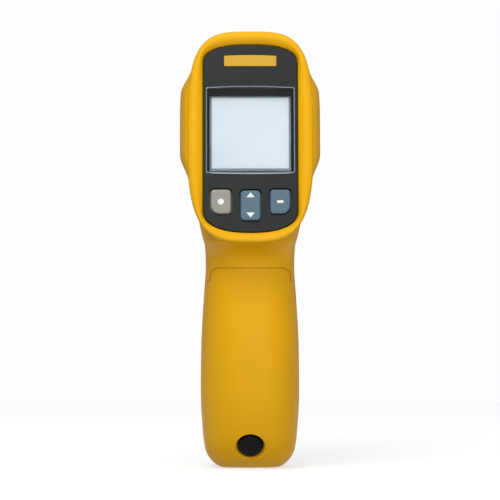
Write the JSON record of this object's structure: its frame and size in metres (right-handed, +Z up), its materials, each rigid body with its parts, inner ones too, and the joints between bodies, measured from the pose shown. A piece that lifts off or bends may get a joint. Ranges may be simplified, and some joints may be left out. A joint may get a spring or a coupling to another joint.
{
  "type": "infrared thermometer",
  "caption": "Compact pistol-grip infrared thermometer with a tilted display, three keys, a trigger, a round lens in a dark nose and a battery door down the back of the handle.",
  "frame": {"origin": "on the ground under the middle of the bounding box", "axes": "+Z up along the handle, the display faces -Y and leans back, the lens looks along +Y, +X is to the right of someone reading the display"},
  "size_m": [0.05, 0.08, 0.156],
  "materials": {
    "yellow_plastic": "fine moulded texture, amber yellow",
    "dark_plastic": "moulded charcoal",
    "grip_rubber": "soft overmould, ribbed",
    "panel_plastic": "satin dark grey",
    "clear_window": "clear moulded acrylic",
    "label": "printed ochre plate",
    "grey_key": "satin warm grey",
    "blue_key": "satin blue grey",
    "keypad_rubber": "black silicone",
    "black_plastic": "moulded black",
    "lcd_cell": "pale liquid crystal cell",
    "light_guide": "milky light guide",
    "circuit_board": "green solder mask",
    "steel": "zinc plated",
    "battery_sleeve": "plain printed sleeve",
    "latch_plastic": "polished black",
    "infrared_glass": "coated infrared lens",
    "sensor_metal": "gold-plated can",
    "brass": "turned brass",
    "red_window": "clear red",
    "red_lead": "red insulation"
  },
  "bodies": {
    "housing": {"rear_housing": "yellow_plastic", "front_housing": "yellow_plastic", "nose_bezel": "dark_plastic", "front_grip": "grip_rubber", "display_panel": "panel_plastic", "display_window": "clear_window", "label_plate": "label", "keypad_mat": "keypad_rubber", "key_switch_select": "black_plastic", "key_switch_up": "black_plastic", "key_switch_down": "black_plastic", "key_switch_set": "black_plastic", "lcd_frame": "black_plastic", "lcd_glass": "lcd_cell", "lcd_backlight": "light_guide", "lcd_contact_strip": "keypad_rubber", "main_board": "circuit_board", "processor_chip": "black_plastic", "board_screw_upper_left": "steel", "board_screw_upper_right": "steel", "board_screw_lower_left": "steel", "board_screw_lower_right": "steel", "housing_screw_upper_left": "steel", "housing_screw_upper_right": "steel", "housing_screw_lower_left": "steel", "housing_screw_lower_right": "steel", "trigger_pin": "steel", "trigger_board": "circuit_board", "trigger_switch": "black_plastic", "trigger_spring": "steel", "battery_tray": "black_plastic", "battery_cell": "battery_sleeve", "battery_contact_spring": "steel", "battery_contact_plate": "steel", "lens_tube": "black_plastic", "infrared_lens": "infrared_glass", "lens_retaining_ring": "dark_plastic", "sensor_can": "sensor_metal", "sensor_board": "circuit_board", "laser_module": "brass", "laser_window": "red_window", "laser_bracket": "black_plastic", "battery_lead_negative": "keypad_rubber", "battery_lead_positive": "red_lead", "sensor_lead": "keypad_rubber"},
    "key_select": {"key_select": "grey_key"},
    "key_up_down": {"key_up_down": "blue_key"},
    "key_set": {"key_set": "blue_key"},
    "trigger": {"trigger": "dark_plastic"},
    "battery_door": {"battery_door": "yellow_plastic", "door_latch_spring": "steel"},
    "door_latch": {"door_latch_button": "latch_plastic", "door_latch_washer": "steel"}
  },
  "joints": [
    {"name": "key_select_press", "type": "slide", "parent": "housing", "child": "key_select", "axis": [0, 0.9613, -0.2756], "range_m": [0, 0.0008], "stiffness_N_per_m": 1500, "springref_m": -0.0003},
    {"name": "key_up_down_rock", "type": "hinge", "parent": "housing", "child": "key_up_down", "pos_m": [0, -0.03292, 0.09343], "axis": [1, 0, 0], "range_deg": [-3.5, 3.5], "stiffness_Nm_per_rad": 0.1},
    {"name": "key_set_press", "type": "slide", "parent": "housing", "child": "key_set", "axis": [0, 0.9613, -0.2756], "range_m": [0, 0.0008], "stiffness_N_per_m": 1500, "springref_m": -0.0003},
    {"name": "trigger_pull", "type": "hinge", "parent": "housing", "child": "trigger", "pos_m": [0, 0.011, 0.101], "axis": [-1, 0, 0], "range_deg": [0, 8], "stiffness_Nm_per_rad": 0.5, "springref_deg": -3.44, "deforming": ["trigger_spring"]},
    {"name": "battery_door_open", "type": "hinge", "parent": "housing", "child": "battery_door", "pos_m": [0, -0.0291, 0.072], "axis": [-1, 0, 0], "range_deg": [0, 70]},
    {"name": "door_latch_press", "type": "slide", "parent": "battery_door", "child": "door_latch", "axis": [0, 0.866, 0.5], "range_m": [0, 0.001], "stiffness_N_per_m": 1500, "springref_m": -0.0003, "deforming": ["door_latch_spring"]}
  ]
}
